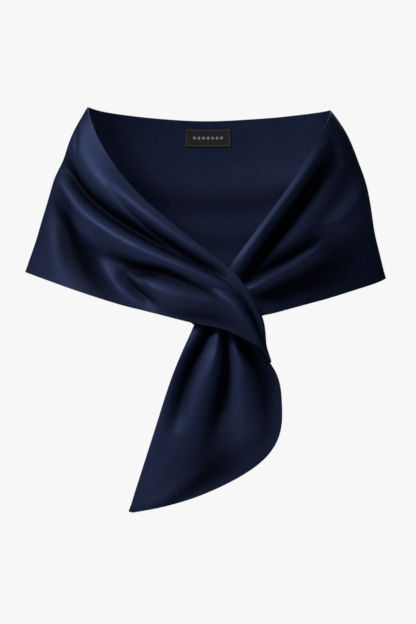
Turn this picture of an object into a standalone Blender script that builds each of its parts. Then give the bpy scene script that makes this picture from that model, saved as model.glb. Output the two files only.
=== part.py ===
"""An evening stole of heavy satin, pulled through its own loop, in the hollow form it has on a wearer.

The cloth is one long band. It starts as a loop behind the knot, crosses the chest (front_over), goes
round one arm, over the back and round the other arm, comes forward again (front_under), passes through
the loop as a gathered neck and hangs below it as the tail. Each stretch is a node of its own, and a
woven label lies on the inside of the back.

Millimetres in the tables, metres in the scene. +X is to the left of the wearer, +Y behind the wearer
and +Z up. The origin lies midway between the shoulders, at the height of the edge that rests on them.
"""

import bmesh
import bpy
import numpy as np

MM = 0.001
WALL = 2.0  # two layers of satin, sewn together and turned out
SEAM_GAP = 0.45
LABEL_GAP = 0.5
END_ROW = 2.0
LABEL_SIZE = (78.0, 28.0)
LABEL_THICK = 0.8
LABEL_BELOW_EDGE = 12.0

SATIN_NAVY = (0.010, 0.016, 0.045, 1.0)
LABEL_BLACK = (0.008, 0.008, 0.008, 1.0)

# Sections across the band, in the order of its length. top is the edge that shapes the neckline, and
# hem the lower edge. belly is how far the cloth swells between them, away from the body.
SECTION = ("top_x", "top_y", "top_z", "hem_x", "hem_y", "hem_z", "belly")
LOOP_RETURN = [
    (-22, -128, -262, -36, -132, -306, 0),
    (-6, -112, -262, -14, -114, -322, 0),
    (20, -103, -272, 20, -104, -334, 0),
    (50, -102, -294, 54, -103, -350, 0),
    (68, -112, -314, 76, -113, -362, 0),
]
FRONT_OVER = [
    (75, -132, -325, 90, -134, -375, 0),
    (75, -151, -306, 79, -156, -354, 3),
    (66, -158, -286, 60, -164, -342, 4),
    (42, -155, -251, 27, -163, -326, 6),
    (-1, -142, -214, -16, -152, -316, 8),
    (-62, -118, -165, -76, -130, -302, 11),
    (-112, -89, -117, -128, -106, -289, 13),
    (-148, -60, -68, -177, -79, -274, 13),
    (-169, -32, -28, -221, -50, -259, 11),
    (-179, -8, 0, -258, -20, -246, 9),
]
LEFT_OF_BACK = [
    (-181, 16, 9, -275, 12, -240, 8),
    (-176, 44, 10, -258, 48, -246, 9),
    (-156, 74, 8, -212, 82, -257, 10),
    (-112, 95, 4, -146, 105, -266, 9),
    (-58, 105, 0, -74, 115, -273, 8),
]
RIGHT_OF_BACK = [
    (0, 108, -2, 0, 118, -276, 8),
    (58, 105, 0, 74, 115, -274, 8),
    (112, 95, 3, 146, 105, -268, 9),
    (158, 74, 6, 208, 82, -260, 10),
    (179, 44, 6, 251, 48, -253, 13),
]
FRONT_UNDER = [
    (185, 16, 4, 268, 12, -249, 15),
    (182, -8, -6, 253, -20, -256, 14),
    (173, -32, -26, 222, -48, -266, 13),
    (155, -58, -58, 183, -76, -278, 13),
    (126, -87, -107, 146, -101, -288, 11),
    (84, -114, -165, 112, -119, -297, 8),
    (48, -132, -213, 88, -131, -303, 5),
    (27, -136, -241, 75, -133, -306, 3),
    (10, -131, -264, 66, -130, -311, 2),
]
TAIL = [
    (-7, -128, -287, 63, -128, -321, 0),
    (-19, -133, -316, 69, -129, -341, 0),
    (-30, -137, -342, 79, -134, -366, 1),
    (-39, -140, -362, 98, -137, -393, 2),
    (-53, -142, -398, 105, -138, -428, 3),
    (-71, -143, -455, 103, -140, -469, 3),
    (-88, -142, -508, 82, -139, -507, 3),
    (-101, -140, -548, 28, -138, -544, 2),
    (-109, -139, -573, -55, -138, -575, 1),
    (-113, -138, -583, -107, -138, -585, 0),
]

# Folds, as soft troughs (negative rise) and ridges along the band. start and end count sections from
# the first one, and the three across columns run from 0 at the top edge to 1 at the hem. upper and
# lower are the half-widths towards the top edge and towards the hem.
FOLD = ("start", "end", "at_start", "at_mid", "at_end", "rise_start", "rise_mid", "rise_end", "upper", "lower")
FADE = 0.3
OVER_FOLDS = [
    (6.0, 14.4, 0.22, 0.31, 0.36, -6, -20, -10, 22, 11),
    (7.2, 11.6, 0.13, 0.17, 0.20, -4, -7, -5, 9, 6),
    (6.6, 14.6, 0.40, 0.46, 0.52, 4, 8, 5, 16, 22),
    (10.2, 15.4, 0.62, 0.66, 0.68, -6, -15, -12, 26, 26),
    (7.4, 11.8, 0.52, 0.62, 0.60, -6, -13, -9, 11, 17),
    (8.0, 11.2, 0.80, 0.78, 0.74, 3, 6, 5, 14, 14),
]
BACK_FOLDS = [
    (14.4, 25.6, 0.30, 0.46, 0.30, -5, -8, -5, 26, 16),
    (15.2, 24.8, 0.52, 0.72, 0.50, -4, -6, -4, 28, 18),
]
UNDER_FOLDS = [
    (25.6, 32.6, 0.34, 0.33, 0.44, -12, -20, -10, 20, 20),
    (25.2, 30.6, 0.40, 0.52, 0.62, 6, 9, 6, 14, 18),
    (27.0, 32.6, 0.56, 0.62, 0.66, -6, -9, -5, 8, 12),
]
NECK_FOLDS = [
    (32.6, 39.2, 0.30, 0.26, 0.11, -6, -11, -7, 8, 8),
    (32.6, 40.0, 0.41, 0.37, 0.28, 3, 7, 4, 8, 10),
    (32.6, 40.4, 0.51, 0.50, 0.43, -6, -12, -7, 7, 9),
    (32.6, 40.4, 0.59, 0.59, 0.68, 3, 6, 4, 7, 12),
    (32.6, 39.6, 0.70, 0.74, 0.84, -5, -9, -5, 9, 16),
]

BAND = LOOP_RETURN + FRONT_OVER + LEFT_OF_BACK + RIGHT_OF_BACK + FRONT_UNDER + TAIL
FOLDS = OVER_FOLDS + BACK_FOLDS + UNDER_FOLDS + NECK_FOLDS

TURN_OF_LOOP = len(LOOP_RETURN)
LEFT_ARM = TURN_OF_LOOP + len(FRONT_OVER)
BACK_MIDDLE = LEFT_ARM + len(LEFT_OF_BACK)
RIGHT_ARM = BACK_MIDDLE + len(RIGHT_OF_BACK)
NECK = RIGHT_ARM + len(FRONT_UNDER)
TIP = len(BAND) - 1

# The nodes, with the sections they run between and the cells of their grids.
STRETCH = ("node", "first", "last", "cells_along", "cells_across")
STRETCHES = [
    ("loop_return", 0, TURN_OF_LOOP, 10, 8),
    ("front_over", TURN_OF_LOOP, LEFT_ARM, 30, 18),
    ("back", LEFT_ARM, RIGHT_ARM, 40, 14),
    ("front_under", RIGHT_ARM, NECK, 26, 18),
    ("tail", NECK, TIP, 22, 18),
]


def column(table, header, name):
    """One named column of a table, as an array."""
    place = header.index(name)
    return np.array([row[place] for row in table], float)


def points(table, edge):
    """The x, y and z columns of one edge of the sections."""
    return np.stack([column(table, SECTION, f"{edge}_{axis}") for axis in "xyz"], axis=1)


TOPS, HEMS = points(BAND, "top"), points(BAND, "hem")
BELLIES = column(BAND, SECTION, "belly")[:, None]
MIDDLES = (TOPS + HEMS) / 2
STEPS = np.linalg.norm(np.diff(MIDDLES, axis=0), axis=1)
LENGTHS = np.concatenate([[0.0], np.cumsum(STEPS)])


def spline(knots, rows, at):
    """A natural cubic spline through the rows, read at the given places."""
    count, gaps = len(knots), np.diff(knots)
    system, right = np.eye(count), np.zeros_like(rows)
    slopes = np.diff(rows, axis=0) / gaps[:, None]
    for i in range(1, count - 1):
        system[i, i - 1 : i + 2] = gaps[i - 1], 2 * (gaps[i - 1] + gaps[i]), gaps[i]
        right[i] = 6 * (slopes[i] - slopes[i - 1])
    bend = np.linalg.solve(system, right)
    i = np.clip(np.searchsorted(knots, at, side="right") - 1, 0, count - 2)
    gap = gaps[i][:, None]
    after = ((at - knots[i])[:, None]) / gap
    before = 1 - after
    straight = before * rows[i] + after * rows[i + 1]
    curved = (before**3 - before) * bend[i] + (after**3 - after) * bend[i + 1]
    return straight + curved * gap**2 / 6


def unit(vectors):
    return vectors / np.maximum(np.linalg.norm(vectors, axis=-1, keepdims=True), 1e-9)


def normals(grid):
    """Unit normals of a grid of points, on the side that faces away from the body."""
    return unit(np.cross(np.gradient(grid, axis=0), np.gradient(grid, axis=1)))


def smooth(x):
    x = np.clip(x, 0, 1)
    return x * x * (3 - 2 * x)


def through(start, mid, end, u):
    """A smooth run of values from start through mid to end."""
    bow = mid - (start + end) / 2
    return start + (end - start) * u + 4 * bow * u * (1 - u)


def fold_heights(stations, across, widths):
    """How far each point is raised along the normal, in millimetres, from the table of folds."""
    raised = np.zeros((len(stations), len(across)))
    for row in FOLDS:
        fold = dict(zip(FOLD, row))
        along = (stations - fold["start"]) / (fold["end"] - fold["start"])
        strength = smooth(along / FADE) * smooth((1 - along) / FADE)
        u = np.clip(along, 0, 1)
        centre = through(fold["at_start"], fold["at_mid"], fold["at_end"], u)
        rise = through(fold["rise_start"], fold["rise_mid"], fold["rise_end"], u) * strength
        away = (across[None, :] - centre[:, None]) * widths[:, None]
        reach = np.where(away < 0, fold["upper"], fold["lower"])
        raised += rise[:, None] * np.exp(-((away / reach) ** 2))
    return raised


def cloth(stations, across, lift=0.0):
    """Points of the band's middle surface, in millimetres, lifted off it along the normal."""
    at = np.interp(stations, np.arange(len(BAND)), LENGTHS)
    top, hem = spline(LENGTHS, TOPS, at), spline(LENGTHS, HEMS, at)
    belly = spline(LENGTHS, BELLIES, at)
    share = across[None, :, None]
    flat = top[:, None] * (1 - share) + hem[:, None] * share
    swell = belly[:, None] * 6.75 * share * (1 - share) ** 2
    form = flat + normals(flat) * swell
    widths = np.linalg.norm(hem - top, axis=1)
    raised = fold_heights(stations, across, widths)[..., None]
    folded = form + normals(form) * raised
    return folded + normals(folded) * lift


def stations_of(first, last, cells):
    """Section numbers of a stretch's rows: evenly along the cloth, with one more row near each end.

    Each end is moved in by half a seam's gap, except at the ends of the band. The row near it keeps the
    end of the wall square to the cloth, so that the gap is as wide inside as outside.
    """
    numbers = np.arange(len(BAND))
    start, stop = np.interp([first, last], numbers, LENGTHS)
    start += (first > 0) * SEAM_GAP / 2
    stop -= (last < TIP) * SEAM_GAP / 2
    at = np.linspace(start, stop, cells + 1)
    at = np.concatenate([at[:1], [start + END_ROW], at[1:-1], [stop - END_ROW], at[-1:]])
    return np.interp(at, LENGTHS, numbers)


def finish(name, colour, roughness):
    material = bpy.data.materials.new(name)
    material.use_nodes = True
    shader = material.node_tree.nodes["Principled BSDF"]
    shader.inputs["Base Color"].default_value = colour
    shader.inputs["Roughness"].default_value = roughness
    shader.inputs["Metallic"].default_value = 0.0
    return material


def wall(name, grid, thick, material, collection):
    """A sheet with the grid's points, thickened to a closed wall."""
    along, across = grid.shape[0] - 1, grid.shape[1] - 1
    sheet = bmesh.new()
    bmesh.ops.create_grid(sheet, x_segments=along, y_segments=across, size=0.5)
    for vertex in sheet.verts:
        i = round((vertex.co.x + 0.5) * along)
        j = round((0.5 - vertex.co.y) * across)
        vertex.co = grid[i, j] * MM
    bmesh.ops.reverse_faces(sheet, faces=sheet.faces)
    mesh = bpy.data.meshes.new(name)
    sheet.to_mesh(mesh)
    sheet.free()
    mesh.materials.append(material)
    mesh.shade_smooth()
    obj = bpy.data.objects.new(name, mesh)
    collection.objects.link(obj)
    thicken = obj.modifiers.new("wall", "SOLIDIFY")
    thicken.thickness = thick * MM
    thicken.offset = 0.0
    return obj


def label(collection, material):
    """The woven label, made from the points of the back and moved off its inner face."""
    width, height = LABEL_SIZE
    back_height = np.linalg.norm(HEMS[BACK_MIDDLE] - TOPS[BACK_MIDDLE])
    middle = LENGTHS[BACK_MIDDLE]
    ends = np.interp(middle + np.array([-0.5, 0.5]) * width, LENGTHS, np.arange(len(BAND)))
    edges = np.array([LABEL_BELOW_EDGE, LABEL_BELOW_EDGE + height]) / back_height
    lift = -(WALL / 2 + LABEL_GAP + LABEL_THICK / 2)
    grid = cloth(np.linspace(*ends, 9), np.linspace(*edges, 4), lift)
    return wall("label", grid, LABEL_THICK, material, collection)


def main():
    for obj in list(bpy.data.objects):
        bpy.data.objects.remove(obj, do_unlink=True)
    collection = bpy.data.collections.new("evening_stole")
    bpy.context.scene.collection.children.link(collection)
    satin = finish("navy satin", SATIN_NAVY, 0.4)
    for row in STRETCHES:
        stretch = dict(zip(STRETCH, row))
        stations = stations_of(stretch["first"], stretch["last"], stretch["cells_along"])
        across = np.linspace(0, 1, stretch["cells_across"] + 1)
        wall(stretch["node"], cloth(stations, across), WALL, satin, collection)
    label(collection, finish("black label weave", LABEL_BLACK, 0.7))


main()
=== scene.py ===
# %% [markdown]
# # An evening stole
#
# This lesson models a satin evening stole in Blender. The stole is one long band of cloth. It goes round
# the shoulders of its wearer, crosses the chest, and closes by passing its gathered end through a loop
# made by its other end.

import bmesh
import bpy
import numpy as np
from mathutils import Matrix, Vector, noise


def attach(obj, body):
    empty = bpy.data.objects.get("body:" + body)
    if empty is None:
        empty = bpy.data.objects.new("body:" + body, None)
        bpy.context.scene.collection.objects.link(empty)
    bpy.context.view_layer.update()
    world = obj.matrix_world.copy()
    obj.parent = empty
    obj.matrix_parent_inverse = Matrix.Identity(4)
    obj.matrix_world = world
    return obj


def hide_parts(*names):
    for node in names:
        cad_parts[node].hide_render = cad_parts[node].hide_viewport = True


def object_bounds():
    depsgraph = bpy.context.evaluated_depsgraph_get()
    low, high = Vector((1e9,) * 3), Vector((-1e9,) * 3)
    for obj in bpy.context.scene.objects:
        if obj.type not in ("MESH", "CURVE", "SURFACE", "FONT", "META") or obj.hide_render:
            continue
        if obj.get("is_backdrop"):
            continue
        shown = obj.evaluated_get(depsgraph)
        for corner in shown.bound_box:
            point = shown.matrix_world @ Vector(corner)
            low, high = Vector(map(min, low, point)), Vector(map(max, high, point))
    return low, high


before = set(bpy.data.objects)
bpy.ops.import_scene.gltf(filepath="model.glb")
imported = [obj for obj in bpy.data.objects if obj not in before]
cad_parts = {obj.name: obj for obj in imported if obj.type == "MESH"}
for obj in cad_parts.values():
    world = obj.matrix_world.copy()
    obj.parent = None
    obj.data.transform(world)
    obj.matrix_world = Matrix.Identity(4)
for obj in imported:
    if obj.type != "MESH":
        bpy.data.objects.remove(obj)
cad_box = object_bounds()
MM = 0.001
print("solids:", sorted(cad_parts))

# %% [markdown]
# ## The course of the band
#
# A worn band of cloth could be simulated, but a knot of this kind is hard to make a simulation tie. It is
# surer to draw the band as a dressmaker sees it: by sections across it, from the neck edge to the hem,
# placed round the wearer one after the other. A smooth curve through the sections gives the cloth.
# The sections are in millimetres, with X to the left of the wearer, Y behind and Z up. The belly is how
# far the cloth swells out between its two edges.

# %% Sections
SECTION = ("top_x", "top_y", "top_z", "hem_x", "hem_y", "hem_z", "belly")
LOOP_RETURN = [
    (-22, -128, -262, -36, -132, -306, 0),
    (-6, -112, -262, -14, -114, -322, 0),
    (20, -103, -272, 20, -104, -334, 0),
    (50, -102, -294, 54, -103, -350, 0),
    (68, -112, -314, 76, -113, -362, 0),
]
FRONT_OVER = [
    (75, -132, -325, 89, -134, -372, 0),
    (75, -151, -306, 79, -156, -354, 3),
    (66, -158, -286, 60, -164, -342, 4),
    (42, -155, -251, 27, -163, -326, 6),
    (-1, -142, -214, -16, -152, -316, 8),
    (-62, -118, -165, -76, -130, -302, 11),
    (-112, -89, -117, -128, -106, -289, 13),
    (-148, -60, -68, -177, -79, -274, 13),
    (-169, -32, -28, -221, -50, -259, 11),
    (-179, -8, 0, -258, -20, -246, 9),
]
LEFT_OF_BACK = [
    (-181, 16, 9, -275, 12, -240, 8),
    (-176, 44, 10, -258, 48, -246, 9),
    (-156, 74, 8, -212, 82, -257, 10),
    (-112, 95, 4, -146, 105, -266, 9),
    (-58, 105, 0, -74, 115, -273, 8),
]
RIGHT_OF_BACK = [
    (0, 108, -2, 0, 118, -276, 8),
    (58, 105, 0, 74, 115, -274, 8),
    (112, 95, 3, 146, 105, -268, 9),
    (158, 74, 6, 208, 82, -260, 10),
    (179, 44, 6, 251, 48, -253, 13),
]
FRONT_UNDER = [
    (185, 16, 4, 268, 12, -249, 15),
    (182, -8, -6, 253, -20, -256, 14),
    (173, -32, -26, 222, -48, -266, 13),
    (155, -58, -58, 183, -76, -278, 13),
    (126, -87, -107, 146, -101, -288, 11),
    (84, -114, -165, 112, -119, -297, 8),
    (48, -132, -213, 88, -131, -303, 5),
    (27, -136, -241, 75, -133, -306, 3),
    (10, -131, -264, 66, -130, -311, 2),
]
TAIL = [
    (-7, -128, -287, 63, -128, -321, 0),
    (-19, -133, -316, 69, -129, -341, 0),
    (-30, -137, -342, 85, -134, -367, 1),
    (-38, -140, -360, 97, -137, -387, 2),
    (-53, -142, -398, 105, -138, -428, 3),
    (-71, -143, -455, 103, -140, -469, 3),
    (-88, -142, -508, 82, -139, -507, 3),
    (-101, -140, -548, 28, -138, -544, 2),
    (-109, -139, -573, -55, -138, -575, 1),
    (-113, -138, -583, -107, -138, -585, 0),
]
BAND = LOOP_RETURN + FRONT_OVER + LEFT_OF_BACK + RIGHT_OF_BACK + FRONT_UNDER + TAIL
TURN_OF_LOOP = len(LOOP_RETURN)
LEFT_ARM = TURN_OF_LOOP + len(FRONT_OVER)
BACK_MIDDLE = LEFT_ARM + len(LEFT_OF_BACK)
RIGHT_ARM = BACK_MIDDLE + len(RIGHT_OF_BACK)
NECK = RIGHT_ARM + len(FRONT_UNDER)
TIP = len(BAND) - 1
NUMBERS = np.arange(len(BAND))


def column(table, header, name):
    place = header.index(name)
    return np.array([row[place] for row in table], float)


def edge_points(edge):
    return np.stack([column(BAND, SECTION, f"{edge}_{axis}") for axis in "xyz"], axis=1)


TOPS, HEMS = edge_points("top"), edge_points("hem")
BELLIES = column(BAND, SECTION, "belly")[:, None]
MIDDLES = (TOPS + HEMS) / 2
STEPS = np.linalg.norm(np.diff(MIDDLES, axis=0), axis=1)
LENGTHS = np.concatenate([[0.0], np.cumsum(STEPS)])
print(f"{len(BAND)} sections, {LENGTHS[-1]:.0f} mm along the middle of the band")

# %% [markdown]
# ## Creases
#
# Satin that is pulled into a loop falls into soft troughs with a slow side and a steep side, which fan
# out from the gathers and die away over the arms. A noise texture gives wrinkles that go nowhere, so
# each main crease is listed one by one. A row says where the crease is, counted in sections along the band
# and as a share of the width across it, how far it rises or sinks in millimetres, and how far it reaches
# towards the neck edge and towards the hem.

# %% Creases of the crossing front
CREASE = ("section", "across", "rise", "above", "below")
OVER_CREASES = {
    "deep fold under the roll": [
        (7.4, 0.20, 0, 10, 7),
        (8.4, 0.21, -7, 11, 7),
        (9.2, 0.24, -11, 13, 8),
        (10.0, 0.30, -15, 15, 9),
        (10.8, 0.34, -17, 17, 9),
        (11.7, 0.38, -17, 18, 10),
        (12.7, 0.39, -16, 18, 11),
        (13.6, 0.37, -13, 18, 12),
        (14.3, 0.35, -5, 18, 13),
        (15.2, 0.33, 0, 18, 14),
    ],
    "fine crease in the roll": [
        (8.2, 0.13, 0, 6, 4),
        (9.2, 0.18, -6, 7, 4),
        (10.0, 0.20, -8, 8, 5),
        (10.8, 0.19, -6, 9, 5),
        (11.6, 0.17, 0, 9, 6),
    ],
    "roll at the neck": [
        (8.4, 0.08, 0, 10, 12),
        (10.0, 0.10, 4, 12, 14),
        (11.0, 0.14, 6, 16, 18),
        (12.0, 0.18, 8, 22, 22),
        (12.9, 0.18, 7, 24, 24),
        (13.9, 0.16, 3, 24, 24),
        (15.0, 0.15, 0, 24, 24),
    ],
    "dimple in the roll": [
        (13.2, 0.20, 0, 8, 8),
        (13.7, 0.17, -5, 9, 8),
        (14.1, 0.14, -4, 9, 8),
        (14.6, 0.12, 0, 8, 8),
    ],
    "ridge under the deep fold": [
        (6.9, 0.34, 0, 12, 14),
        (8.2, 0.37, 5, 12, 18),
        (9.4, 0.40, 6, 12, 16),
        (10.8, 0.46, 8, 13, 18),
        (12.0, 0.48, 8, 13, 22),
        (13.2, 0.47, 6, 13, 22),
        (15.0, 0.44, 0, 14, 20),
    ],
    "groove at the arm": [
        (12.0, 0.58, 0, 7, 9),
        (12.7, 0.55, -4, 8, 9),
        (13.5, 0.51, -4, 8, 9),
        (14.4, 0.48, 0, 8, 9),
    ],
    "hollow at the arm": [
        (10.9, 1.02, 0, 44, 30),
        (11.9, 0.90, -9, 46, 34),
        (12.7, 0.79, -14, 44, 36),
        (13.3, 0.69, -14, 36, 32),
        (13.9, 0.61, -7, 26, 26),
        (14.7, 0.54, 0, 20, 20),
    ],
    "knuckle by the groove": [
        (11.2, 0.66, 0, 12, 12),
        (11.8, 0.62, 5, 13, 13),
        (12.5, 0.58, 6, 13, 13),
        (13.2, 0.54, 0, 12, 12),
    ],
    "middle trough": [
        (10.0, 0.63, 0, 12, 10),
        (10.6, 0.64, -9, 12, 11),
        (11.1, 0.66, -9, 13, 12),
        (11.7, 0.66, -5, 14, 14),
        (12.3, 0.66, 0, 14, 14),
    ],
    "pocket over the hem": [
        (7.8, 0.54, 0, 10, 10),
        (8.8, 0.54, -9, 11, 12),
        (9.4, 0.54, -13, 12, 13),
        (9.9, 0.57, -15, 12, 13),
        (10.3, 0.62, -13, 12, 12),
        (10.8, 0.70, -5, 11, 11),
        (11.1, 0.76, 0, 11, 11),
    ],
    "knuckle over the hem": [
        (9.2, 0.78, 0, 13, 13),
        (9.7, 0.76, 5, 13, 13),
        (10.1, 0.73, 6, 11, 12),
        (10.5, 0.66, 0, 10, 10),
    ],
    "crease over the hem": [
        (9.9, 0.90, 0, 9, 9),
        (10.3, 0.87, -7, 9, 9),
        (10.7, 0.82, -8, 9, 9),
        (11.2, 0.74, 0, 9, 9),
    ],
    "ridge over the hem": [
        (10.3, 0.96, 0, 12, 12),
        (10.9, 0.90, 5, 12, 12),
        (11.3, 0.82, 6, 13, 12),
        (11.9, 0.76, 0, 13, 12),
    ],
    "lapel at the loop": [
        (5.1, 0.64, 0, 8, 9),
        (5.9, 0.56, -4, 7, 10),
        (6.5, 0.44, -8, 7, 12),
        (7.0, 0.32, -9, 7, 12),
        (7.5, 0.29, -9, 8, 9),
        (8.1, 0.36, -7, 8, 7),
        (8.8, 0.42, -4, 9, 7),
        (9.4, 0.42, 0, 9, 8),
    ],
    "knuckle at the loop": [
        (7.3, 0.50, 0, 8, 8),
        (8.0, 0.51, 6, 8, 9),
        (8.8, 0.50, 0, 8, 8),
    ],
    "fall of the hem": [
        (6.6, 0.92, 0, 14, 16),
        (7.8, 0.90, -6, 18, 20),
        (9.0, 0.92, -8, 16, 20),
        (10.0, 0.98, 0, 14, 16),
    ],
}
print(len(OVER_CREASES), "creases in the crossing front")

# %% [markdown]
# The other front is pulled straight into the loop, so its troughs all run to one place. One of them is
# sharp, where the cloth is bent hardest on its way in.

# %% Creases of the front below
UNDER_CREASES = {
    "roll at the neck": [
        (27.0, 0.07, 0, 12, 14),
        (28.2, 0.06, 5, 12, 14),
        (29.4, 0.06, 8, 11, 14),
        (30.6, 0.07, 6, 9, 11),
        (31.8, 0.08, 0, 8, 9),
    ],
    "deep fold under the roll": [
        (26.6, 0.20, 0, 20, 20),
        (27.7, 0.20, -11, 20, 20),
        (28.8, 0.20, -19, 18, 22),
        (30.0, 0.23, -20, 14, 19),
        (31.0, 0.29, -14, 10, 12),
        (32.3, 0.34, 0, 9, 9),
    ],
    "ridge over the arm": [
        (24.8, 0.46, 0, 26, 36),
        (25.8, 0.49, 6, 24, 34),
        (26.7, 0.52, 11, 21, 28),
        (27.6, 0.54, 11, 16, 18),
        (28.7, 0.53, 0, 12, 12),
    ],
    "sharp crease to the loop": [
        (27.6, 0.56, 0, 12, 8),
        (28.6, 0.57, -8, 13, 8),
        (29.5, 0.56, -12, 14, 8),
        (30.4, 0.51, -11, 12, 7),
        (31.2, 0.45, -8, 9, 6),
        (32.1, 0.42, 0, 8, 6),
    ],
    "ridge under the crease": [
        (27.6, 0.66, 0, 12, 16),
        (28.9, 0.64, 6, 11, 16),
        (30.1, 0.60, 7, 10, 13),
        (31.2, 0.53, 4, 8, 9),
        (32.0, 0.48, 0, 8, 9),
    ],
    "low trough": [
        (26.4, 0.82, 0, 26, 28),
        (28.0, 0.80, -8, 26, 28),
        (29.4, 0.78, -11, 20, 24),
        (30.6, 0.73, -10, 12, 18),
        (32.0, 0.62, 0, 9, 12),
    ],
}
print(len(UNDER_CREASES), "creases in the front below")

# %% [markdown]
# Below the loop the gathers open again. Pleats and troughs take turns across the tail, narrow at the loop
# and wide near the end, where they die out.

# %% Creases of the tail
TAIL_CREASES = {
    "left pleat": [
        (33.9, 0.14, 0, 6, 6),
        (35.5, 0.10, 4, 8, 8),
        (37.2, 0.05, 6, 10, 10),
        (38.9, 0.04, 5, 12, 12),
        (40.6, 0.05, 0, 12, 12),
    ],
    "left trough": [
        (32.9, 0.29, 0, 6, 6),
        (34.0, 0.28, -8, 6, 6),
        (35.0, 0.24, -10, 8, 7),
        (36.2, 0.17, -13, 11, 9),
        (37.4, 0.13, -13, 14, 11),
        (38.5, 0.14, -9, 16, 12),
        (39.3, 0.17, 0, 16, 12),
    ],
    "left ridge": [
        (33.3, 0.38, 0, 6, 6),
        (34.3, 0.38, 9, 7, 6),
        (36.1, 0.38, 12, 12, 10),
        (37.3, 0.34, 12, 16, 12),
        (38.6, 0.29, 8, 20, 16),
        (40.0, 0.25, 0, 20, 18),
    ],
    "middle trough": [
        (32.9, 0.48, 0, 6, 6),
        (34.0, 0.48, -9, 6, 6),
        (35.0, 0.48, -12, 7, 7),
        (36.4, 0.47, -15, 9, 9),
        (37.7, 0.46, -13, 12, 12),
        (39.0, 0.46, -8, 16, 16),
        (40.4, 0.46, 0, 18, 18),
    ],
    "right ridge": [
        (33.6, 0.57, 0, 6, 7),
        (34.5, 0.58, 8, 7, 8),
        (36.3, 0.60, 10, 10, 12),
        (37.6, 0.63, 9, 13, 18),
        (38.9, 0.69, 6, 16, 22),
        (40.6, 0.72, 0, 18, 22),
    ],
    "right trough": [
        (33.4, 0.70, 0, 7, 8),
        (34.6, 0.72, -8, 8, 9),
        (36.0, 0.78, -11, 12, 14),
        (37.2, 0.84, -10, 14, 16),
        (38.6, 0.90, -5, 14, 16),
        (39.8, 0.94, 0, 14, 16),
    ],
    "low ridge": [
        (38.8, 0.10, 0, 24, 24),
        (40.1, 0.17, 6, 24, 26),
        (41.2, 0.26, 7, 28, 30),
        (42.2, 0.36, 0, 28, 30),
    ],
    "low hollow": [
        (38.9, 0.80, 0, 26, 30),
        (40.0, 0.66, -9, 30, 36),
        (41.2, 0.70, -8, 34, 40),
        (42.2, 0.80, 0, 34, 40),
    ],
}
print(len(TAIL_CREASES), "creases in the tail")

# %% [markdown]
# Over the back nothing pulls on the cloth but its own weight, so it only hangs in a few shallow swags.

# %% Creases of the back
BACK_CREASES = {
    "upper swag": [
        (14.6, 0.30, 0, 26, 16),
        (17.4, 0.41, -4, 30, 19),
        (20.0, 0.46, -5, 30, 20),
        (22.8, 0.40, -4, 30, 19),
        (25.4, 0.30, 0, 26, 16),
    ],
    "middle swag": [
        (15.6, 0.50, 0, 26, 18),
        (18.2, 0.63, -3, 30, 20),
        (20.4, 0.67, -4, 30, 20),
        (22.4, 0.61, -3, 30, 20),
        (24.6, 0.48, 0, 26, 18),
    ],
    "short swag": [
        (17.2, 0.80, 0, 18, 14),
        (18.6, 0.85, -4, 18, 14),
        (20.6, 0.84, -4, 18, 14),
        (22.0, 0.78, 0, 18, 14),
    ],
}
CREASES = [
    np.array(rows, float)
    for table in (OVER_CREASES, UNDER_CREASES, TAIL_CREASES, BACK_CREASES)
    for rows in table.values()
]
print(len(CREASES), "creases in all, each row giving", ", ".join(CREASE))

# %% [markdown]
# ## The cloth as a surface
#
# The same few steps make every stretch. A natural spline runs through the sections, the belly is added
# between the edges, and each crease moves the cloth along its own normal. A little slow noise on top
# keeps the satin from looking pressed.

# %% The surface
def spline(knots, rows, at):
    count, gaps = len(knots), np.diff(knots)
    system, right = np.eye(count), np.zeros_like(rows)
    slopes = np.diff(rows, axis=0) / gaps[:, None]
    for i in range(1, count - 1):
        system[i, i - 1 : i + 2] = gaps[i - 1], 2 * (gaps[i - 1] + gaps[i]), gaps[i]
        right[i] = 6 * (slopes[i] - slopes[i - 1])
    bend = np.linalg.solve(system, right)
    i = np.clip(np.searchsorted(knots, at, side="right") - 1, 0, count - 2)
    gap = gaps[i][:, None]
    after = ((at - knots[i])[:, None]) / gap
    before = 1 - after
    straight = before * rows[i] + after * rows[i + 1]
    curved = (before**3 - before) * bend[i] + (after**3 - after) * bend[i + 1]
    return straight + curved * gap**2 / 6


def unit(vectors):
    return vectors / np.maximum(np.linalg.norm(vectors, axis=-1, keepdims=True), 1e-9)


def normals(grid):
    return unit(np.cross(np.gradient(grid, axis=0), np.gradient(grid, axis=1)))


def crease_heights(stations, across, widths):
    raised = np.zeros((len(stations), len(across)))
    for rows in CREASES:
        inside = np.clip(stations, rows[0, 0], rows[-1, 0])
        place, rise, above, below = spline(rows[:, 0], rows[:, 1:], inside).T
        rise = np.where((stations < rows[0, 0]) | (stations > rows[-1, 0]), 0, rise)
        away = (across[None, :] - place[:, None]) * widths[:, None]
        reach = np.where(away < 0, above[:, None], below[:, None])
        raised += rise[:, None] * np.exp(-((away / reach) ** 2))
    return raised


def slow_noise(form, size, height):
    values = [noise.noise(Vector(point) / size) for point in form.reshape(-1, 3)]
    return height * np.array(values).reshape(form.shape[:2])


UNEVEN_SIZE = 45.0
UNEVEN_HEIGHT = 1.0
BELLY_SHAPE = 6.75  # makes share * (1 - share)**2 come to 1 at its highest, a third of the way down


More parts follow.
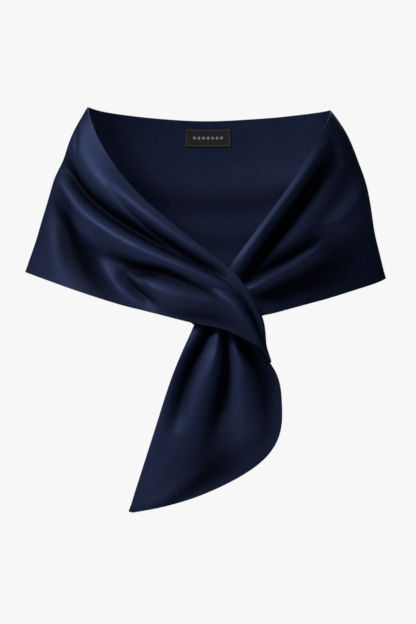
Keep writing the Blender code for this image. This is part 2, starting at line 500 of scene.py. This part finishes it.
def cloth(stations, across, lift=0.0, heights=False):
    at = np.interp(stations, NUMBERS, LENGTHS)
    top, hem = spline(LENGTHS, TOPS, at), spline(LENGTHS, HEMS, at)
    belly = spline(LENGTHS, BELLIES, at)
    share = across[None, :, None]
    flat = top[:, None] * (1 - share) + hem[:, None] * share
    form = flat + normals(flat) * belly[:, None] * BELLY_SHAPE * share * (1 - share) ** 2
    widths = np.linalg.norm(hem - top, axis=1)
    raised = crease_heights(stations, across, widths) + slow_noise(form, UNEVEN_SIZE, UNEVEN_HEIGHT)
    folded = form + normals(form) * raised[..., None]
    placed = folded + normals(folded) * lift
    return (placed, raised) if heights else placed


middle_of_back = cloth(NUMBERS, np.linspace(0, 1, 3))[BACK_MIDDLE, 1]
print("middle of the back, in mm:", middle_of_back.round(1))


# %% [markdown]
# ## From surface to cloth
#
# A stretch starts as a flat grid of cloth. Its vertices are carried to the surface, and Solidify gives
# the wall. The UV map keeps metres along the band and its full width across it, so that the threads of
# the satin run the way of the cloth. Where the band is gathered they are drawn closer together. Edges on
# the outline are marked sharp, so that the thin rim of the wall doesn't bend the shading of the face.

# %% Making a stretch
BAND_WIDTH = 0.28
WALL = 1.8
print("cloth", WALL, "mm thick, for two layers of satin")


def sheet_of(name, grid, raised, lengths, widths, thick, material):
    along, across = grid.shape[0] - 1, grid.shape[1] - 1
    sheet = bmesh.new()
    bmesh.ops.create_grid(sheet, x_segments=along, y_segments=across, size=0.5, calc_uvs=True)
    uv = sheet.loops.layers.uv.verify()
    height = sheet.verts.layers.float.new("height_mm")
    for vertex in sheet.verts:
        i = round((vertex.co.x + 0.5) * along)
        j = round((0.5 - vertex.co.y) * across)
        vertex.co = grid[i, j] * MM
        vertex[height] = raised[i, j]
        for loop in vertex.link_loops:
            loop[uv].uv = lengths[i], widths[j]
    bmesh.ops.reverse_faces(sheet, faces=sheet.faces)
    for edge in sheet.edges:
        edge.smooth = not edge.is_boundary
    mesh = bpy.data.meshes.new(name)
    sheet.to_mesh(mesh)
    sheet.free()
    mesh.materials.append(material)
    mesh.shade_smooth()
    piece = bpy.data.objects.new(name, mesh)
    bpy.context.scene.collection.objects.link(piece)
    wall = piece.modifiers.new("wall", "SOLIDIFY")
    wall.thickness = thick * MM
    wall.offset = 0.0
    return piece


def stretch(name, first, last, cells_along, cells_across, material):
    start, stop = np.interp([first, last], NUMBERS, LENGTHS)
    at = np.linspace(start, stop, cells_along + 1)
    across = np.linspace(0, 1, cells_across + 1)
    grid, raised = cloth(np.interp(at, LENGTHS, NUMBERS), across, heights=True)
    piece = sheet_of(name, grid, raised, at * MM, across * BAND_WIDTH, WALL, material)
    print(name, "made with", cells_along, "by", cells_across, "cells")
    return piece


# %% [markdown]
# ## Satin
#
# Satin is woven with long floats, so that a thread lies over several others before it dips. The floats
# give a soft, broad shine in the colour of the cloth, and almost black folds. A metallic value between 0
# and 1 gives the coloured shine. Slubs, the slightly thicker places in a thread, break up the shine.
#
# Little light gets down into a fold between shining walls. The colour here is made darker in the hollows
# and lighter on the ridges, from how far each point was raised or sunk. This is painted shade in the hollows
# and a painted highlight on the ridges, not lamp light, chosen because the folds came out too grey with the
# lamps alone.

# %% The satin material
def linear(code):
    parts = [int(code[i : i + 2], 16) / 255 for i in (1, 3, 5)]
    light = [p / 12.92 if p <= 0.04045 else ((p + 0.055) / 1.055) ** 2.4 for p in parts]
    return (*light, 1.0)


def add(tree, kind, settings, links):
    node = tree.nodes.new(kind)
    for key, value in settings.items():
        if isinstance(key, str) and hasattr(node, key):
            setattr(node, key, value)
        else:
            node.inputs[key].default_value = value
    for socket, source in links.items():
        tree.links.new(source, node.inputs[socket])
    return node


def material_of(name):
    material = bpy.data.materials.new(name)
    material.use_nodes = True
    tree = material.node_tree
    return material, tree, tree.nodes["Principled BSDF"]


satin, tree, shader = material_of("navy polyester satin")
SLUB_LONG = 14.0  # slubs and threads are coarser than real ones, so that they show
SLUB_WIDE = 1.6
THREAD_STRETCH = 3  # a float is this many times as long as it is wide
LOWEST, HIGHEST = -13.0, 6.0  # mm from the smooth cloth
# painted shade darkens the colour to the first share in the deepest hollows; a painted highlight lightens it
# to the second on the highest ridges
HOLLOW_PAINTED_SHADE, RIDGE_PAINTED_HIGHLIGHT = 0.10, 1.15
THREAD = 0.9  # coarser than the real 0.1 mm, so that it shows
cloth_uv = add(tree, "ShaderNodeTexCoord", {}, {})
slub_place = add(tree, "ShaderNodeMapping", {"Scale": (1000 / SLUB_LONG, 1000 / SLUB_WIDE, 1)},
                 {"Vector": cloth_uv.outputs["UV"]})
slubs = add(tree, "ShaderNodeTexNoise", {"Scale": 1.0, "Detail": 3.0, "Roughness": 0.6},
            {"Vector": slub_place.outputs["Vector"]})
thread_place = add(tree, "ShaderNodeMapping", {"Scale": (1000 / THREAD / THREAD_STRETCH, 1000 / THREAD, 1)},
                   {"Vector": cloth_uv.outputs["UV"]})
threads = add(tree, "ShaderNodeTexNoise", {"Scale": 1.0, "Detail": 2.0, "Roughness": 0.5},
              {"Vector": thread_place.outputs["Vector"]})
tone = add(tree, "ShaderNodeMapRange", {"To Min": 0.55, "To Max": 1.45}, {"Value": slubs.outputs["Fac"]})
colour = add(tree, "ShaderNodeMix",
             {"data_type": "RGBA", "blend_type": "MULTIPLY", 0: 1.0, 6: linear("#28314F")},
             {7: tone.outputs["Result"]})
# painted shade and painted highlight: the cloth's colour is multiplied by a factor taken from each point's
# fold height
height = add(tree, "ShaderNodeAttribute", {"attribute_name": "height_mm"}, {})
shade = add(tree, "ShaderNodeMapRange",
            {"interpolation_type": "SMOOTHSTEP", 1: LOWEST, 2: HIGHEST, 3: HOLLOW_PAINTED_SHADE, 4: RIDGE_PAINTED_HIGHLIGHT},
            {"Value": height.outputs["Fac"]})
deep = add(tree, "ShaderNodeMix", {"data_type": "RGBA", "blend_type": "MULTIPLY", 0: 1.0},
           {6: colour.outputs[2], 7: shade.outputs["Result"]})
rough = add(tree, "ShaderNodeMapRange", {"To Min": 0.50, "To Max": 0.60}, {"Value": slubs.outputs["Fac"]})
bump = add(tree, "ShaderNodeBump", {"Strength": 0.6, "Distance": 0.0004}, {"Height": threads.outputs["Fac"]})
tree.links.new(deep.outputs[2], shader.inputs["Base Color"])
tree.links.new(rough.outputs["Result"], shader.inputs["Roughness"])
tree.links.new(bump.outputs["Normal"], shader.inputs["Normal"])
shader.inputs["Metallic"].default_value = 0.45
shader.inputs["Specular Tint"].default_value = linear("#A0ACD8")
shader.inputs["Specular IOR Level"].default_value = 0.15
print("made", satin.name)

# %% [markdown]
# ## The stretches
#
# Each stretch stands for its own solid. The flat sizes here are NOT a cutting pattern. They were chosen so
# that each flat area is near the area of the modelled surface. Along its middle the band is longer than
# they say in both fronts, the tail and the loop's return, and a little shorter over the back, and it
# would be 0.28 m wide in the loop's return too. The deep gathers that would take up that cloth aren't
# modelled. The tail ends on a slant, so its area is less than its rectangle.

# %% Stretches of the band
STRETCH = ("name", "first", "last", "along", "across", "flat", "area", "held")
STRETCHES = [
    ("loop_return", 0, TURN_OF_LOOP, 60, 40, (0.08, 0.12), None, "folded"),
    ("front_over", TURN_OF_LOOP, LEFT_ARM, 230, 150, (0.28, 0.30), None, "gathered"),
    ("back", LEFT_ARM, RIGHT_ARM, 220, 100, (0.28, 0.60), None, "draped"),
    ("front_under", RIGHT_ARM, NECK, 190, 140, (0.28, 0.24), None, "gathered"),
    ("tail", NECK, TIP, 190, 140, (0.28, 0.30), 0.050, "hung"),
]
for row in STRETCHES:
    part = dict(zip(STRETCH, row))
    cells = part["along"], part["across"]
    piece = stretch(part["name"] + "_cloth", part["first"], part["last"], *cells, satin)
    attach(piece, "root")
    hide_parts(part["name"])

# %% [markdown]
# ## The label
#
# A woven label is a dense damask ribbon, sewn along its edges. This one is plain, with a thin border and
# a row of small lozenges in paler thread, which are drawn from its own UV map in millimetres.

# %% The label material
LABEL_SIZE = (78.0, 28.0)
LABEL_THICK = 0.8
LABEL_BELOW_EDGE = 12.0
LABEL_GAP = 0.5
LOZENGES = 7
ribbon, tree, shader = material_of("black damask ribbon")
place = add(tree, "ShaderNodeTexCoord", {}, {})
split = add(tree, "ShaderNodeSeparateXYZ", {}, {"Vector": place.outputs["UV"]})

# The lozenges stand in a row along the middle, a pitch apart.
LOZENGE_OUTSIDE, LOZENGE_INSIDE = 2.6, 1.4
ROW_HALF = LABEL_SIZE[0] * 0.36
BORDER_INSET, BORDER_HALF, BORDER_TONE = 2.2, 0.35, 0.12
MANY_PITCHES = 50.5  # keeps the row on the positive side, and centres a lozenge
MM_PER_M = 1000.0
pitch = LABEL_SIZE[0] * 0.7 / LOZENGES
along = add(tree, "ShaderNodeMath", {"operation": "MULTIPLY", 1: MM_PER_M}, {0: split.outputs["X"]})
high = add(tree, "ShaderNodeMath", {"operation": "MULTIPLY", 1: MM_PER_M}, {0: split.outputs["Y"]})
up = add(tree, "ShaderNodeMath", {"operation": "ABSOLUTE"}, {0: high.outputs[0]})
far = add(tree, "ShaderNodeMath", {"operation": "ABSOLUTE"}, {0: along.outputs[0]})
moved = add(tree, "ShaderNodeMath", {"operation": "ADD", 1: pitch * MANY_PITCHES}, {0: along.outputs[0]})
nearest = add(tree, "ShaderNodeMath", {"operation": "PINGPONG", 1: pitch / 2}, {0: moved.outputs[0]})
aside = add(tree, "ShaderNodeMath", {"operation": "SUBTRACT", 0: pitch / 2}, {1: nearest.outputs[0]})
beside = add(tree, "ShaderNodeMath", {"operation": "ABSOLUTE"}, {0: aside.outputs[0]})
reach = add(tree, "ShaderNodeMath", {"operation": "ADD"}, {0: beside.outputs[0], 1: up.outputs[0]})
lozenge = add(tree, "ShaderNodeMath", {"operation": "LESS_THAN", 1: LOZENGE_OUTSIDE}, {0: reach.outputs[0]})
heart = add(tree, "ShaderNodeMath", {"operation": "GREATER_THAN", 1: LOZENGE_INSIDE}, {0: reach.outputs[0]})
rings = add(tree, "ShaderNodeMath", {"operation": "MULTIPLY"}, {0: lozenge.outputs[0], 1: heart.outputs[0]})
in_row = add(tree, "ShaderNodeMath", {"operation": "LESS_THAN", 1: ROW_HALF}, {0: far.outputs[0]})
row_of_rings = add(tree, "ShaderNodeMath", {"operation": "MULTIPLY"},
                   {0: rings.outputs[0], 1: in_row.outputs[0]})

# The border is a thin line that keeps the same way in from all four edges.
side = add(tree, "ShaderNodeMath", {"operation": "SUBTRACT", 0: LABEL_SIZE[0] / 2}, {1: far.outputs[0]})
above = add(tree, "ShaderNodeMath", {"operation": "SUBTRACT", 0: LABEL_SIZE[1] / 2}, {1: up.outputs[0]})
edge = add(tree, "ShaderNodeMath", {"operation": "MINIMUM"}, {0: side.outputs[0], 1: above.outputs[0]})
inset = add(tree, "ShaderNodeMath", {"operation": "SUBTRACT", 1: BORDER_INSET}, {0: edge.outputs[0]})
off_line = add(tree, "ShaderNodeMath", {"operation": "ABSOLUTE"}, {0: inset.outputs[0]})
border = add(tree, "ShaderNodeMath", {"operation": "LESS_THAN", 1: BORDER_HALF}, {0: off_line.outputs[0]})
faint = add(tree, "ShaderNodeMath", {"operation": "MULTIPLY", 1: BORDER_TONE}, {0: border.outputs[0]})
pale = add(tree, "ShaderNodeMath", {"operation": "MAXIMUM"},
           {0: row_of_rings.outputs[0], 1: faint.outputs[0]})
ribbon_colour = add(tree, "ShaderNodeMix", {"data_type": "RGBA", 6: linear("#101011"), 7: linear("#B9B9BC")},
                    {0: pale.outputs[0]})
weave = add(tree, "ShaderNodeTexWave", {"Scale": 900.0, "bands_direction": "Y"},
            {"Vector": place.outputs["UV"]})
ribbon_bump = add(tree, "ShaderNodeBump", {"Strength": 0.3, "Distance": 0.0002},
                  {"Height": weave.outputs["Fac"]})
tree.links.new(ribbon_colour.outputs[2], shader.inputs["Base Color"])
tree.links.new(ribbon_bump.outputs["Normal"], shader.inputs["Normal"])
shader.inputs["Roughness"].default_value = 0.7
print("made", ribbon.name)

# %% [markdown]
# The ribbon lies on the inside of the back, a little below the neck edge. It follows the same surface as
# the cloth, lifted off it by its own thickness and a small gap.

# %% The label
back_height = np.linalg.norm(HEMS[BACK_MIDDLE] - TOPS[BACK_MIDDLE])
ends = np.interp(LENGTHS[BACK_MIDDLE] + np.array([-0.5, 0.5]) * LABEL_SIZE[0], LENGTHS, NUMBERS)
edges = np.array([LABEL_BELOW_EDGE, LABEL_BELOW_EDGE + LABEL_SIZE[1]]) / back_height
lift = -(WALL / 2 + LABEL_GAP + LABEL_THICK / 2)
LABEL_POINTS = (61, 25)
label_grid = cloth(np.linspace(*ends, LABEL_POINTS[0]), np.linspace(*edges, LABEL_POINTS[1]), lift)
half_wide, half_high = LABEL_SIZE[0] / 2 * MM, LABEL_SIZE[1] / 2 * MM
lengths = np.linspace(-half_wide, half_wide, LABEL_POINTS[0])
widths = np.linspace(half_high, -half_high, LABEL_POINTS[1])
level = np.zeros(LABEL_POINTS)
label = sheet_of("label_ribbon", label_grid, level, lengths, widths, LABEL_THICK, ribbon)
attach(label, "root")
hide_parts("label")
print("label", [round(v, 3) for v in label.dimensions])

# %% [markdown]
# ## The studio
#
# The stole is worn, so it hangs well above the floor. The floor is a pale paper disc that fades out
# towards its rim, so that no edge shows, and it glows a little to match the background.

# %% Floor
scene = bpy.context.scene
scene.view_settings.view_transform = "Standard"
FLOOR_Z = -1.35
FLOOR_RADIUS = 2.6
disc = bmesh.new()
bmesh.ops.create_circle(disc, cap_ends=True, radius=FLOOR_RADIUS, segments=96)
bmesh.ops.translate(disc, verts=disc.verts, vec=(0, 0, FLOOR_Z))
floor_mesh = bpy.data.meshes.new("studio_floor")
disc.to_mesh(floor_mesh)
disc.free()
floor = bpy.data.objects.new("studio_floor", floor_mesh)
scene.collection.objects.link(floor)
paper, tree, shader = material_of("pale studio paper")
shader.inputs["Base Color"].default_value = linear("#F4F4F4")
shader.inputs["Roughness"].default_value = 0.9
shader.inputs["Emission Color"].default_value = linear("#F7F7F7")
shader.inputs["Emission Strength"].default_value = 0.5
where = add(tree, "ShaderNodeTexCoord", {}, {})
out = add(tree, "ShaderNodeVectorMath", {"operation": "LENGTH"}, {0: where.outputs["Object"]})
fade = add(tree, "ShaderNodeMapRange", {"interpolation_type": "SMOOTHSTEP", 1: 1.5, 2: 2.5, 3: 1.0, 4: 0.0},
           {"Value": out.outputs["Value"]})
tree.links.new(fade.outputs["Result"], shader.inputs["Alpha"])
floor_mesh.materials.append(paper)
floor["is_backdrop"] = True
print("floor at", FLOOR_Z, "m")

# %% [markdown]
# The background is near white, but it gives the cloth very little light. That keeps the folds dark.

# %% Background
world = bpy.data.worlds.new("studio")
scene.world = world
world.use_nodes = True
tree = world.node_tree
ray = add(tree, "ShaderNodeLightPath", {}, {})
seen = tree.nodes["Background"]
seen.inputs["Color"].default_value = linear("#F7F7F7")
lit = add(tree, "ShaderNodeBackground", {"Color": (0.85, 0.9, 1.0, 1.0), "Strength": 0.05}, {})
either = add(tree, "ShaderNodeMixShader", {},
             {0: ray.outputs["Is Camera Ray"], 1: lit.outputs[0], 2: seen.outputs[0]})
tree.links.new(either.outputs[0], tree.nodes["World Output"].inputs["Surface"])
print("background ready")

# %% [markdown]
# A soft key light stands at the upper left in front, a weak one fills the right, and one from behind
# lights the back.

# %% Lamps
def lamp(name, place, size, power, target=(0, -0.05, -0.25)):
    light = bpy.data.lights.new(name, "AREA")
    light.size = size
    light.energy = power
    holder = bpy.data.objects.new(name, light)
    scene.collection.objects.link(holder)
    holder.location = place
    holder.rotation_euler = (Vector(target) - Vector(place)).to_track_quat("-Z", "Y").to_euler()
    return holder


lamp("key", (-1.6, -1.3, 1.7), 0.9, 66)
lamp("fill", (1.2, -2.2, 1.0), 1.2, 5)
lamp("rim", (0.3, 2.2, 1.2), 1.4, 26)
print("three lamps")

# %% [markdown]
# A long lens, level with the middle of the stole, keeps its hems and its neckline in their true shapes.

# %% Camera
camera = bpy.data.objects.new("camera", bpy.data.cameras.new("camera"))
camera.data.lens = 100
camera.data.sensor_width = 36
camera.location = (0, -2.6, -0.3)
camera.rotation_euler = (np.pi / 2, 0, 0)
scene.collection.objects.link(camera)
scene.camera = camera
print("camera at", tuple(camera.location))

# %% [markdown]
# ## Size
#
# Last, the finished stole is measured against its solids. It passes them by 5.5 mm at the front.

# %% Sizes
bpy.context.view_layer.update()
for words, corners in (("solids", cad_box), ("stole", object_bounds())):
    low, high = corners
    print(words, [round(v, 4) for v in low], [round(v, 4) for v in high])
